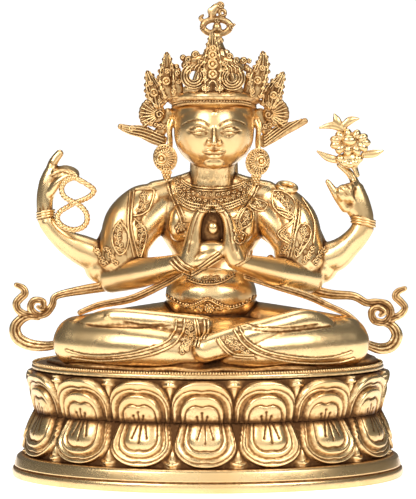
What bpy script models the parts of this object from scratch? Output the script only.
# Four-armed seated figure of Avalokiteshvara in cast brass, on an oval double lotus base.
#
# The figure faces -Y, +X is on the viewer's right, and the base stands on z = 0 at the origin.
# The base is a turned profile squeezed to an oval, with two rows of petals pushed out of it.
# The figure is built from overlapping limbs and swellings that are fused into one closed skin.
# Its places and thicknesses are parts of its own height, which GRID_PARTS divides.

import math

import bmesh
import bpy
from mathutils import Euler, Matrix, Vector

MM = 0.001

# Overall sizes
BASE_WIDTH = 275 * MM
BASE_DEPTH = 181 * MM
FIGURE_HEIGHT = 257.5 * MM
GRID_PARTS = 257.5

# Lotus base, from the ground up
FOOT_ROLL_HEIGHT = 6.5 * MM
FOOT_BAND_HEIGHT = 9 * MM
FOOT_BAND_SLOPE = 4 * MM
LOWER_ROW_HEIGHT = 30 * MM
UPPER_ROW_HEIGHT = 29 * MM
TOP_BAND_HEIGHT = 4.5 * MM
WAIST_INSET = 21 * MM
TOP_INSET = 14 * MM
LOWER_SWELL = 7 * MM
UPPER_SWELL = 2 * MM
PETALS = 15
PETAL_PHASE = -0.075
PETAL_RELIEF = 7 * MM
FILLER_SHARE = 0.55
PETAL_COLUMNS = (-1, -0.86, -0.48, 0, 0.48, 0.86)
PETAL_ROWS = (0, 0.35, 0.62, 0.82, 0.94, 1)

# Clearance between castings that rest on or in one another
REST_GAP = 0.3 * MM

# How much of the modelled figure lies below the seat and is cut level with it, in figure parts
SEAT_CUT = 5

# Fineness of the fused skins, the cell sizes in figure parts
FIGURE_VOXEL = 1.25
FIGURE_FACES = 7000
ATTRIBUTE_VOXEL = 0.7
MALA_FACES = 540
FLOWER_FACES = 640

# Prayer rope
ROPE_RADIUS = 1.9 * MM

BRASS = (0.83, 0.58, 0.22, 1.0)

WAIST_Z = FOOT_ROLL_HEIGHT + FOOT_BAND_HEIGHT + LOWER_ROW_HEIGHT
BASE_HEIGHT = WAIST_Z + UPPER_ROW_HEIGHT + TOP_BAND_HEIGHT
PART = FIGURE_HEIGHT / GRID_PARTS
SEAT_LIFT = BASE_HEIGHT + REST_GAP - SEAT_CUT * PART


def clear_scene():
    for item in list(bpy.data.objects):
        bpy.data.objects.remove(item, do_unlink=True)


def brass_material(name, roughness):
    material = bpy.data.materials.new(name)
    material.use_nodes = True
    shader = material.node_tree.nodes["Principled BSDF"]
    shader.inputs["Base Color"].default_value = BRASS
    shader.inputs["Metallic"].default_value = 1.0
    shader.inputs["Roughness"].default_value = roughness
    return material


def collection(name):
    made = bpy.data.collections.new(name)
    bpy.context.scene.collection.children.link(made)
    return made


def object_from(bm, name, material, group):
    mesh = bpy.data.meshes.new(name)
    bm.to_mesh(mesh)
    bm.free()
    made = bpy.data.objects.new(name, mesh)
    made.data.materials.append(material)
    group.objects.link(made)
    return made


# Basic forms, in parts of the figure's height

def along(points, share):
    """The values of a smooth curve through the points, at a share of its way."""
    spans = len(points) - 1
    place = min(max(share, 0.0), 1.0) * spans
    i = min(int(place), spans - 1)
    t = place - i
    before = points[max(i - 1, 0)]
    start = points[i]
    end = points[i + 1]
    after = points[min(i + 2, spans)]
    values = []
    for a, b, c, d in zip(before, start, end, after):
        bend = (c - a) * t + (2 * a - 5 * b + 4 * c - d) * t * t + (3 * b - a - 3 * c + d) * t ** 3
        values.append(b + 0.5 * bend)
    return values


def blob(bm, centre, radii, turn=(0, 0, 0), sides=16, rings=10):
    """A swelling: a sphere stretched to three radii and turned by degrees."""
    made = bmesh.ops.create_uvsphere(bm, u_segments=sides, v_segments=rings, radius=1.0)
    turned = Euler([math.radians(a) for a in turn]).to_matrix().to_4x4()
    place = Matrix.Translation(centre) @ turned @ Matrix.Diagonal((*radii, 1))
    bmesh.ops.transform(bm, matrix=place, verts=made["verts"])


def limb(bm, points, sides=12, steps=18, facing=(0, -1, 0)):
    """A limb, ribbon or rope with round ends. Each point is x, y, z, half width and half depth."""
    made = bmesh.ops.create_uvsphere(bm, u_segments=sides, v_segments=steps, radius=1.0)
    cap = 3 / steps
    front = Vector(facing)
    for vertex in made["verts"]:
        share = math.acos(max(-1.0, min(1.0, vertex.co.z))) / math.pi
        around = math.atan2(vertex.co.y, vertex.co.x)
        way = min(max((share - cap) / (1 - 2 * cap), 0.0), 1.0)
        x, y, z, wide, deep = along(points, way)
        ahead = Vector(along(points, way + 0.02)[:3])
        behind = Vector(along(points, way - 0.02)[:3])
        tangent = (ahead - behind).normalized()
        side = tangent.cross(front).normalized()
        normal = side.cross(tangent)
        past = max(cap - share, share - (1 - cap), 0.0) / cap
        squeeze = math.cos(past * math.pi / 2)
        reach = math.sin(past * math.pi / 2) * min(wide, deep) * (1 if share > 0.5 else -1)
        centre = Vector((x, y, z)) + tangent * reach
        spread = side * math.cos(around) * wide + normal * math.sin(around) * deep
        vertex.co = centre + spread * squeeze


def ring(bm, centre, radius, thick, facing=(0, 1, 0), stretch=1.0, steps=28):
    """A closed ring of round section about the facing axis."""
    axis = Vector(facing).normalized()
    turn = Vector((0, 1, 0)).rotation_difference(axis).to_matrix().to_4x4()
    points = []
    turns = 12
    for k in range(turns + 2):
        angle = 2 * math.pi * k / turns
        spot = Matrix.Translation(centre) @ turn @ Vector(
            (radius * math.cos(angle), 0, radius * stretch * math.sin(angle)))
        points.append((*spot, thick, thick))
    limb(bm, points, sides=8, steps=steps, facing=axis)


def mirrored(points, middle):
    """The same points on the other side of the plane x = middle."""
    return [(2 * middle - p[0], *p[1:]) for p in points]


def both(bm, points, middle, **options):
    limb(bm, points, **options)
    limb(bm, mirrored(points, middle), **options)


# The seated figure

BODY_MIDDLE = 2.5
HEAD_MIDDLE = 4.5


def add_torso(bm):
    limb(bm, [
        (2.5, 10, 30, 38, 28), (2.5, 7, 42, 33, 25), (3, 4, 58, 30, 23.5), (3, 4, 77, 27, 18.5),
        (3, 4, 94, 36, 21), (3, 5, 109, 41, 21), (3, 6, 120, 38, 15), (3, 7, 124, 26, 11),
    ], sides=28, steps=30)
    limb(bm, [(2.5, 5, 116, 20, 16), (3, 3, 130, 15.5, 14), (4, 2, 146, 16, 15)], sides=20)
    both(bm, [(-8, -13, 100, 9, 6), (-20, -13, 102, 12, 7)], BODY_MIDDLE, steps=12)
    blob(bm, (2.5, -8, 57), (24, 17, 13))


def add_head(bm):
    blob(bm, (HEAD_MIDDLE, -3, 168), (28, 29, 28), sides=28, rings=20)
    blob(bm, (HEAD_MIDDLE, -11, 155), (21, 20, 15), sides=20, rings=12)
    limb(bm, [(HEAD_MIDDLE, -30, 167, 1.8, 2), (HEAD_MIDDLE, -33, 160, 2, 2.6),
              (HEAD_MIDDLE, -33, 156, 3.4, 3.2)], sides=10, steps=10)
    blob(bm, (HEAD_MIDDLE, -29, 149.5), (6.5, 3, 2.6))
    blob(bm, (HEAD_MIDDLE, -26, 144), (6, 4, 4))
    both(bm, [(HEAD_MIDDLE - 4, -30.5, 168.5, 1.1, 1.6), (HEAD_MIDDLE - 11, -28.5, 171.5, 1.1, 1.8),
              (HEAD_MIDDLE - 19, -22, 169.5, 1, 1.6)], HEAD_MIDDLE, sides=8, steps=12)
    both(bm, [(HEAD_MIDDLE - 28, 0, 172, 3, 4.5), (HEAD_MIDDLE - 30.5, -1, 164, 2.6, 4.5),
              (HEAD_MIDDLE - 29.5, -3, 155, 2.4, 3), (HEAD_MIDDLE - 31, -5, 149, 2.2, 2.4)],
         HEAD_MIDDLE, sides=10, steps=14)
    for side in (-1, 1):
        x = HEAD_MIDDLE + side * 32.5
        blob(bm, (x, -7, 142.5), (8.7, 3, 9), turn=(0, 0, 14 * side))
        blob(bm, (x + side * 1.5, -10, 143), (4, 2.4, 4), turn=(0, 0, 14 * side))
        limb(bm, [(x, -7, 136, 3.4, 2.4), (x + side, -7, 129.5, 1.2, 1.2)], sides=8, steps=10)


def add_hair(bm):
    blob(bm, (HEAD_MIDDLE, 1, 178), (29, 29, 22), sides=24, rings=14)
    limb(bm, [(5, 4, 190, 17, 17), (5.5, 6, 202, 13, 13), (6, 6, 214, 10.5, 10.5),
              (6.5, 5, 222, 7, 7), (7, 5, 229, 3.5, 3.5)], sides=16, steps=20)
    for k in range(5):
        x = HEAD_MIDDLE + (k - 2) * 11
        limb(bm, [(x, 25 - abs(k - 2), 176, 5, 4), (x * 1.05, 25, 156, 5, 4),
                  (x * 1.2, 24, 138, 5, 3.5), (x * 1.5, 22, 122, 4, 3)], sides=10, steps=16)


def add_finial(bm):
    ring(bm, (7.2, 5, 237.8), 8, 2.2, stretch=0.9)
    blob(bm, (7.2, 5, 237), (4, 3, 5))
    blob(bm, (7.2, 5, 231.5), (4.4, 4.4, 2.6))
    limb(bm, [(5.5, 5, 243, 4, 2.4), (5, 5, 247, 4.4, 2.4), (8, 5, 250, 4.4, 2.2),
              (9.5, 5, 254.6, 2.6, 2.2)], sides=10, steps=14)
    both(bm, [(-1, 5, 237, 2, 1.8), (-4, 5, 240, 1.6, 1.6), (-3.6, 5, 243.5, 1.2, 1.2)], 7.2,
         sides=8, steps=10)


def add_crown(bm):
    for z, thick, grow in ((183.5, 2.2, 0.2), (187, 2.6, 1.4)):
        points = []
        for k in range(15):
            angle = math.radians(-210 + k * 20)
            sink = 10 * max(0.0, abs(math.sin(angle - math.pi / 2)) - 0.75)
            points.append((HEAD_MIDDLE + (28 + grow) * math.sin(angle + math.pi / 2),
                           -3 - (28.5 + grow) * math.cos(angle + math.pi / 2), z - sink, thick, thick))
        limb(bm, points, sides=8, steps=44, facing=(0, 0, 1))
    blob(bm, (HEAD_MIDDLE, -3, 183.2), (28.8, 29.3, 6.5), sides=32)
    limb(bm, [(HEAD_MIDDLE, -31, 188, 9, 2.8), (4.3, -31, 198, 11, 3), (4.1, -30, 210, 8, 3.2),
              (3.9, -28, 220, 4.4, 2.8), (3.9, -27, 227.5, 1.2, 1.2)], sides=12, steps=18)
    for k in range(4):
        blob(bm, (4.2, -33.2 + 0.4 * k, 197.5 + 6.2 * k), (4.2 - 0.5 * k, 2, 3.6 - 0.4 * k))
    for side in (-1, 1):
        middle_leaf = [(HEAD_MIDDLE + side * x, y, z, w, 2.6) for x, y, z, w in (
            (27.5, -17, 187, 6), (29.5, -17, 195, 8.5), (32, -16, 205, 6.5), (33, -15, 212, 4),
            (33.2, -15, 217, 1.4))]
        limb(bm, middle_leaf, sides=10, steps=16)
        blob(bm, (HEAD_MIDDLE + side * 30, -20, 196), (4, 2, 4))
        outer_leaf = [(HEAD_MIDDLE + side * x, y, z, w, 2.6) for x, y, z, w in (
            (33, -5, 183, 5), (38, -5, 188, 7.5), (42.5, -5, 194, 7), (46, -5, 201, 4),
            (47.8, -5, 205.5, 1.4))]
        limb(bm, outer_leaf, sides=10, steps=16)
        blob(bm, (HEAD_MIDDLE + side * 40.5, -8, 190), (3.8, 2, 3.8))
        ring(bm, (HEAD_MIDDLE + side * 14, -28, 200), 7.2, 2.6, stretch=0.95)
        blob(bm, (HEAD_MIDDLE + side * 14.5, -27, 210.5), (7, 2.4, 3.6), turn=(0, 20 * side, 0))
        blob(bm, (HEAD_MIDDLE + side * 21, -24, 206), (4.5, 2.4, 4.5))
        blob(bm, (HEAD_MIDDLE + side * 14, -25.5, 194), (11, 2.2, 8))
        blob(bm, (HEAD_MIDDLE + side * 43, -1, 178), (9.5, 2.6, 9.5))
        limb(bm, [(HEAD_MIDDLE + side * x, y, z, w, 2) for x, y, z, w in (
            (30, 2, 162, 5), (40, 3, 161, 6.5), (50, 3, 163, 5), (58, 3, 167.5, 4.2),
            (64, 3, 169.5, 2.4))], sides=10, steps=16)
        limb(bm, [(HEAD_MIDDLE + side * 31, 0, 180, 4, 2.4), (HEAD_MIDDLE + side * 35, 1, 170, 4, 2.4),
                  (HEAD_MIDDLE + side * 40, 2, 163, 4, 2.4)], sides=10, steps=12)


def add_raised_arms(bm):
    both(bm, [(-30, 7, 116, 12, 11), (-46, 7, 114, 13.5, 13), (-58, 5, 100, 13.5, 13),
              (-67, 3, 84, 12.5, 12), (-75, 0, 71, 11.5, 11)], BODY_MIDDLE, sides=18)
    limb(bm, [(-74, 0, 77, 11.6, 11), (-87, -2, 83, 10.8, 10.2), (-97, -4, 88.5, 8.8, 8.4),
              (-105.5, -6, 95.5, 7, 6.8), (-111.5, -8, 103, 6.2, 5.2)], sides=16)
    limb(bm, [(79, 0, 75.5, 11.6, 11), (90, -2, 80, 11, 10.4), (98, -4, 86.5, 8.8, 8.4),
              (104.5, -6, 93.5, 8, 7.2), (108.5, -7, 100, 7.8, 5.8)], sides=16)
    ring(bm, (-113.5, -8, 107), 6.2, 1.5, facing=(0.15, 0, 1))
    ring(bm, (109, -7, 102.5), 8.6, 1.5, facing=(-0.1, 0, 1))


def add_rope_hand(bm):
    limb(bm, [(-113, -8, 105, 5.6, 4.6), (-113.2, -8, 119, 5.9, 4.4), (-110.5, -8, 129, 7.2, 4.6),
              (-107, -8, 136, 7.6, 4.4)], sides=14)
    limb(bm, [(-110, -8, 138, 3.4, 3.2), (-107.5, -8, 145, 3, 3), (-103.4, -8, 150, 2.5, 2.5)],
         sides=10, steps=12)
    for k in range(3):
        limb(bm, [(-106, -6.5 - 2.6 * k, 138.5 - 0.6 * k, 3.2, 2.4),
                  (-98.5, -6 - 3 * k, 140 - 1.2 * k, 3, 2.3),
                  (-92.5, -6.5 - 3 * k, 138 - 1.2 * k, 2.8, 2.2),
                  (-91, -7 - 3 * k, 135.6 - k, 2.2, 2)], sides=8, steps=12)
    limb(bm, [(-109, -11, 124, 3.2, 2.8), (-103.5, -13, 131, 3, 2.6), (-96, -13.4, 136, 2.5, 2.2)],
         sides=10, steps=12)


def add_lotus_hand(bm):
    limb(bm, [(108.4, -7, 101, 7.4, 5), (107.4, -7, 108, 8.2, 5), (103.5, -7, 117, 9.4, 5.2),
              (100.8, -7, 126, 8.2, 4.8)], sides=14)
    limb(bm, [(103.6, -6, 129, 3.2, 3), (99, -5, 137, 2.8, 2.6), (91.5, -5, 143, 1.9, 1.9)],
         sides=10, steps=12)
    for k in range(3):
        limb(bm, [(101.5 - 3.6 * k, -9, 129 - k, 2.8, 2.6), (98.6 - 3.2 * k, -13, 127 - 0.6 * k, 2.6, 2.6),
                  (99 - 3.2 * k, -13.4, 121, 2.4, 2.4), (101 - 3.2 * k, -11, 118, 2, 2)],
             sides=8, steps=12)
    limb(bm, [(96, -9, 113, 3.6, 3.2), (90, -11, 121.5, 3.2, 2.8), (83.4, -11, 131.4, 1.9, 1.9)],
         sides=10, steps=12)


def add_praying_arms(bm):
    both(bm, [(-30, 2, 112, 11, 10), (-45, -3, 98, 12, 11), (-55, -6, 82, 11, 10),
              (-64, -5, 67, 10.5, 10)], BODY_MIDDLE, sides=16)
    both(bm, [(-67, -4, 64, 10.5, 10), (-46, -20, 68.5, 10.4, 10), (-30, -32, 73, 8, 7.6),
              (-17, -41, 77, 6.2, 6)], BODY_MIDDLE, sides=16)
    both(bm, [(-15, -42, 77, 6.2, 6), (-14.5, -43, 87, 5.2, 7), (-11, -44, 99, 4.6, 6.6),
              (-5.5, -45, 108, 4, 5), (-1, -45, 114.5, 2.8, 3.4)], BODY_MIDDLE, sides=12)
    blob(bm, (BODY_MIDDLE, -44, 98), (7, 4.5, 11))
    for k in range(2):
        both(bm, [(-17 - 3.4 * k, -46.5 + 3 * k, 81, 1.3, 1.3), (-19 - 3.4 * k, -37 + 3 * k, 83, 1.3, 1.3),
                  (-19 - 3.4 * k, -33 + 3 * k, 74, 1.3, 1.3), (-17 - 3.4 * k, -42 + 3 * k, 69, 1.3, 1.3),
                  (-16 - 3.4 * k, -47 + 3 * k, 75, 1.3, 1.3)], BODY_MIDDLE, sides=8, steps=14)


def add_sleeves(bm):
    both(bm, [(-42, 0, 132, 3, 5), (-55, -1, 125, 4, 6), (-65.5, -2, 110, 4, 6), (-71.5, -3, 94, 4.4, 7),
              (-77, -3, 80, 4, 6)], BODY_MIDDLE, sides=10, steps=22)
    for k in range(4):
        both(bm, [(-80 + 9 * k, -8 - k, 81 - 3 * k, 4.4, 3), (-79 + 9 * k, -13, 76 - 2.4 * k, 4.6, 3),
                  (-77 + 9 * k, -15, 71 - 1.6 * k, 3, 2.4)], BODY_MIDDLE, sides=8, steps=12)


def add_legs(bm):
    both(bm, [(-18, 12, 24, 24, 22), (-54, -8, 23, 21, 19), (-89, -28, 22, 17.5, 17)], BODY_MIDDLE,
         sides=20)
    both(bm, [(-90, -30, 21, 17, 16.5), (-60, -46, 20, 17, 15.5), (-28, -58, 19, 14.5, 13.5),
              (-10, -61, 17, 11, 10)], BODY_MIDDLE, sides=20)
    blob(bm, (2, -20, 20), (62, 42, 19), sides=24)
    blob(bm, (2, 20, 19), (50, 32, 22), sides=24)
    limb(bm, [(-2, -60, 34, 8, 6), (-28, -57, 37, 7.6, 5.6), (-54, -51, 38.5, 7.8, 5),
              (-68, -47, 38.5, 7, 4), (-75, -45, 38, 4.5, 3)], sides=14)
    limb(bm, [(-2, -70, 20, 9, 8), (20, -68, 27, 9.5, 8), (48, -58, 34.5, 8.5, 6.2),
              (66, -51, 38, 8, 4.6), (76, -48, 38.5, 5.5, 3.4)], sides=14)


def add_garment(bm):
    blob(bm, (2, 0, 1), (119, 74, 10), sides=40, rings=12)
    blob(bm, (2, 0, 8), (92, 58, 12), sides=30, rings=12)
    both(bm, [(-18, -65, 29, 2.6, 2.2), (-25, -73, 20, 2.6, 2.4), (-40, -71, 8, 2.6, 2.4)], BODY_MIDDLE,
         sides=8, steps=12)
    limb(bm, [(-8, -70, 30, 9, 3), (-10, -76, 18, 9, 4), (-14, -78, 8, 8, 4)], sides=10, steps=12)
    limb(bm, [(20, -72, 22, 8, 3), (28, -76, 14, 9, 4), (34, -76, 7, 8, 4)], sides=10, steps=12)
    belt = []
    for k in range(9):
        angle = math.radians(-100 + k * 25)
        belt.append((2.5 + 31 * math.sin(angle), -1 - 24.5 * math.cos(angle), 49 - 3 * math.cos(angle),
                     2, 2))
    limb(bm, belt, sides=8, steps=30, facing=(0, 0, 1))
    blob(bm, (2.5, -26, 43), (9, 3, 5))


def add_jewellery(bm):
    for height, grow, thick in ((116, 0, 1.6), (111, 3, 1.8), (106.5, 5, 1.6)):
        points = []
        for k in range(11):
            angle = math.radians(-105 + k * 21)
            drop = (1 + math.cos(angle)) / 2
            points.append((2.5 + (23 + grow) * math.sin(angle), 3 - (17 + grow * 1.1) * math.cos(angle),
                           height + 14 - 14 * drop, thick * 1.6, thick))
        limb(bm, points, sides=8, steps=32)


def add_scarves(bm):
    both(bm, [(-20, 24, 108, 9, 3.5), (-44, 17, 96, 9, 4), (-62, 9, 76, 8, 3.5),
              (-62, 2, 58, 7, 3.5), (-80, -3, 54.5, 5, 2.8), (-100, -4, 51, 3.4, 2.6),
              (-109, -4, 47, 3.6, 2.8)], 1, sides=10, steps=26)
    both(bm, [(-108, -4, 50, 3.6, 2.6), (-107, -4, 41, 4, 2.6), (-113, -4, 35.5, 4, 2.6),
              (-122, -4, 38, 3.6, 2.6), (-129, -4, 42, 3.4, 2.4), (-131, -4, 46, 3, 2.2),
              (-128.5, -4, 51, 2.6, 2), (-132.5, -4, 57, 1.4, 1.4)], 1, sides=10, steps=28)
    for side in (-1, 1):
        ring(bm, (1 + side * 118, -4, 41.5), 3.6, 2.2)
    both(bm, [(-112, -4, 34, 4, 2.6), (-122, -4, 32.5, 4.6, 2.6), (-130, -4, 26, 5, 2.8),
              (-129.5, -4, 18, 5, 2.8), (-121, -4, 12, 4.8, 2.8), (-106, -8, 12.5, 4.6, 3)], 1,
         sides=10, steps=24)
    both(bm, [(-20, -20, 60, 4.5, 2.6), (-45, -24, 52, 4.6, 2.6), (-70, -27, 43, 4.2, 2.6),
              (-92, -28, 35, 3, 2.4)], BODY_MIDDLE, sides=10, steps=16)


def level_underside(bm, floor):
    """Everything below the floor is pressed up to it, which leaves a flat seat."""
    for vertex in bm.verts:
        vertex.co.z = max(vertex.co.z, floor)


def fused(bm, name, voxel, faces, material, group, smoothing=2):
    """One closed skin around all the forms of a bmesh, put in place and thinned to about that many faces."""
    rough = object_from(bm, name + "_forms", material, group)
    remesh = rough.modifiers.new("skin", "REMESH")
    remesh.mode = "VOXEL"
    remesh.voxel_size = voxel
    smooth = rough.modifiers.new("smooth", "SMOOTH")
    smooth.factor = 0.5
    smooth.iterations = smoothing
    fine = evaluated_mesh(rough, name)
    bpy.data.objects.remove(rough, do_unlink=True)
    fine.transform(Matrix.Translation((0, 0, SEAT_LIFT)) @ Matrix.Scale(PART, 4))
    made = bpy.data.objects.new(name, fine)
    group.objects.link(made)
    thin = made.modifiers.new("thin", "DECIMATE")
    thin.ratio = min(1.0, faces / (2 * len(fine.polygons)))
    thin.use_collapse_triangulate = True
    made.data = evaluated_mesh(made, name)
    made.modifiers.clear()
    return made


def evaluated_mesh(item, name):
    bpy.context.view_layer.update()
    graph = bpy.context.evaluated_depsgraph_get()
    mesh = bpy.data.meshes.new_from_object(item.evaluated_get(graph))
    mesh.name = name
    return mesh


def build_figure(material, group):
    bm = bmesh.new()
    add_torso(bm)
    add_head(bm)
    add_hair(bm)
    add_finial(bm)
    add_crown(bm)
    add_raised_arms(bm)
    add_rope_hand(bm)
    add_lotus_hand(bm)
    add_praying_arms(bm)
    add_sleeves(bm)
    add_legs(bm)
    add_garment(bm)
    add_jewellery(bm)
    add_scarves(bm)
    level_underside(bm, SEAT_CUT)
    made = fused(bm, "figure", FIGURE_VOXEL, FIGURE_FACES, material, group)
    floor = BASE_HEIGHT + REST_GAP
    for vertex in made.data.vertices:
        vertex.co.z = max(vertex.co.z, floor)
    return made


# Things held in the raised hands

def build_mala(material, group):
    """The prayer rope, a closed loop twisted once into a figure of eight."""
    thick = ROPE_RADIUS / PART
    path = [(-91.4, -19, 134.2), (-83.2, -19, 129.7), (-78.6, -18.5, 125.8), (-81, -18, 121.8),
            (-86.2, -17.5, 119), (-91.4, -16.6, 117), (-97, -16.6, 114), (-102, -17, 110.8),
            (-104, -18, 107), (-102.4, -18.5, 102.8), (-97.9, -19, 99.7), (-92.6, -19, 98.4),
            (-87, -19.5, 99.8), (-83.6, -20, 103.6), (-83.4, -20.5, 108.8), (-86.2, -21, 113.4),
            (-90.8, -21.2, 116.8), (-95.6, -21, 119), (-99.4, -20.4, 122), (-100.9, -19.5, 126.7),
            (-98.9, -19, 131), (-95, -19, 133.5), (-91.4, -19, 134.2), (-87, -19, 132)]
    bm = bmesh.new()
    limb(bm, [(*spot, thick, thick) for spot in path], sides=12, steps=110)
    return fused(bm, "mala", ATTRIBUTE_VOXEL, MALA_FACES, material, group, smoothing=1)


def build_flower(material, group):
    """An open blossom above a half-open one, on a short stem with pointed leaves."""
    bm = bmesh.new()
    blob(bm, (98.6, -13, 158.4), (10, 4, 6))
    for k in range(11):
        angle = 2 * math.pi * k / 11
        blob(bm, (98.6 + 10.4 * math.cos(angle), -14.5, 158.6 + 5.8 * math.sin(angle)), (4, 3, 3),
             turn=(0, -math.degrees(angle), 0), sides=10, rings=8)
    blob(bm, (98, -17, 160), (5, 3, 3.6))
    blob(bm, (98.2, -12, 147), (8, 3.6, 5))
    for k in range(5):
        angle = math.pi + math.pi * (k + 0.5) / 5
        blob(bm, (98.2 + 6.6 * math.cos(angle), -13.5, 149 + 5.4 * math.sin(angle)), (3.4, 3, 3),
             sides=10, rings=8)
    limb(bm, [(104, -12.6, 136, 1.6, 1.6), (102.5, -12.4, 140, 2, 2), (100, -12, 146, 3, 3)], sides=10)
    limb(bm, [(97, -12, 164, 2, 2), (94.5, -12, 169, 1.8, 1.8), (92, -12, 172, 1.4, 1.4)], sides=8)
    leaves = (
        ((95, 167), (87, 170.4), (78, 168.8)),
        ((92, 169), (89.6, 174), (88, 178)),
        ((94, 170), (99, 174), (104.5, 175)),
        ((108, 150), (115.5, 151), (121.4, 152.8)),
        ((93, 146), (84, 148), (76.4, 152.4)),
    )
    for root, middle, tip in leaves:
        limb(bm, [(root[0], -12, root[1], 2.4, 1.8), (middle[0], -12.5, middle[1], 2.8, 1.5),
                  (tip[0], -12, tip[1], 0.9, 0.9)], sides=8, steps=12)
    return fused(bm, "lotus_flower", ATTRIBUTE_VOXEL, FLOWER_FACES, material, group, smoothing=1)


# Lotus base

def petal_push(share, height):
    """How far a petal stands out, from 0 to 1. share runs across it from -1 to 1, height from root to tip."""
    width = 0.97 * max(0.0, 1 - height ** 3) ** 0.5
    if abs(share) < width:
        return (1 - (abs(share) / width) ** 6) * (0.8 + 0.2 * height)
    in_gap = 0.7 < height < 1 and abs(share) == 1
    return FILLER_SHARE if in_gap else 0.0


def even_angles(count, phase):
    """Angles of points evenly spaced along the oval, the first one phase steps from the front."""
    squeeze = BASE_DEPTH / BASE_WIDTH
    fine = 200 * count
    lengths = [0.0]
    for k in range(fine):
        angle = 2 * math.pi * (k + 0.5) / fine
        step = math.hypot(math.cos(angle), squeeze * math.sin(angle))
        lengths.append(lengths[-1] + step)
    angles = []
    for n in range(count):
        wanted = ((n + phase) % count) / count * lengths[-1]
        k = next(i for i in range(fine) if lengths[i + 1] >= wanted)
        angles.append(2 * math.pi * (k + (wanted - lengths[k]) / (lengths[k + 1] - lengths[k])) / fine)
    return angles


def petal_rows(start, height, swell, outset, upward):
    """Profile rows of one petal row: height, core inset from the overall width, and place in the petal."""
    rows = []
    for place in PETAL_ROWS:
        bow = math.sin(min(1.0, place * 1.15) * math.pi / 2)
        inset = WAIST_INSET - (WAIST_INSET - outset) * place - swell * (bow - place)
        rows.append((start + height * (place if upward else 1 - place), inset, place))
    return rows if upward else rows[::-1]


def petal_angles():
    """Angle of every column of the base, petal after petal, at the places that PETAL_COLUMNS names."""
    angles = []
    for share in PETAL_COLUMNS:
        angles.append(even_angles(PETALS, PETAL_PHASE + share / 2))
    return [angles[k][petal] for petal in range(PETALS) for k in range(len(PETAL_COLUMNS))]


def build_base(material, group):
    half_width = BASE_WIDTH / 2
    foot_top = FOOT_ROLL_HEIGHT + FOOT_BAND_HEIGHT
    plain = None
    lower = petal_rows(foot_top, LOWER_ROW_HEIGHT, LOWER_SWELL, FOOT_BAND_SLOPE + PETAL_RELIEF, False)
    upper = petal_rows(WAIST_Z, UPPER_ROW_HEIGHT, UPPER_SWELL, TOP_INSET, True)
    rows = [
        (0, 1.2 * MM, plain), (FOOT_ROLL_HEIGHT * 0.5, 0, plain), (FOOT_ROLL_HEIGHT, 1 * MM, plain),
        (foot_top, FOOT_BAND_SLOPE, plain),
        *lower, *upper[1:],
        (BASE_HEIGHT - TOP_BAND_HEIGHT * 0.7, TOP_INSET, plain), (BASE_HEIGHT, TOP_INSET, plain),
    ]
    bm = bmesh.new()
    verts = [bm.verts.new((half_width - inset, 0, z)) for z, inset, _ in rows]
    edges = [bm.edges.new(pair) for pair in zip(verts, verts[1:])]
    columns = PETALS * len(PETAL_COLUMNS)
    angles = petal_angles()
    bmesh.ops.spin(bm, geom=verts + edges, cent=(0, 0, 0), axis=(0, 0, 1), angle=2 * math.pi,
                   steps=columns, use_merge=True)
    bmesh.ops.remove_doubles(bm, verts=bm.verts, dist=0.01 * MM)
    for vertex in bm.verts:
        _, inset, place = min(rows, key=lambda row: abs(row[0] - vertex.co.z))
        column = round(math.atan2(vertex.co.x, -vertex.co.y) / (2 * math.pi) * columns) % columns
        share = PETAL_COLUMNS[column % len(PETAL_COLUMNS)]
        angle = angles[column]
        radius = half_width - inset
        if place is not None:
            radius += PETAL_RELIEF * petal_push(share, place)
        vertex.co.xy = (radius * math.sin(angle), -radius * math.cos(angle))
    bmesh.ops.scale(bm, vec=(1, BASE_DEPTH / BASE_WIDTH, 1), verts=bm.verts)
    rims = [edge for edge in bm.edges if edge.is_boundary]
    bmesh.ops.holes_fill(bm, edges=rims, sides=0)
    bmesh.ops.recalc_face_normals(bm, faces=bm.faces)
    bmesh.ops.triangulate(bm, faces=bm.faces)
    return object_from(bm, "lotus_base", material, group)


def build():
    clear_scene()
    parts = collection("avalokiteshvara_statue")
    polished = brass_material("polished_brass", 0.26)
    base_brass = brass_material("base_brass", 0.3)
    build_base(base_brass, parts)
    build_figure(polished, parts)
    build_mala(polished, parts)
    build_flower(polished, parts)


build()
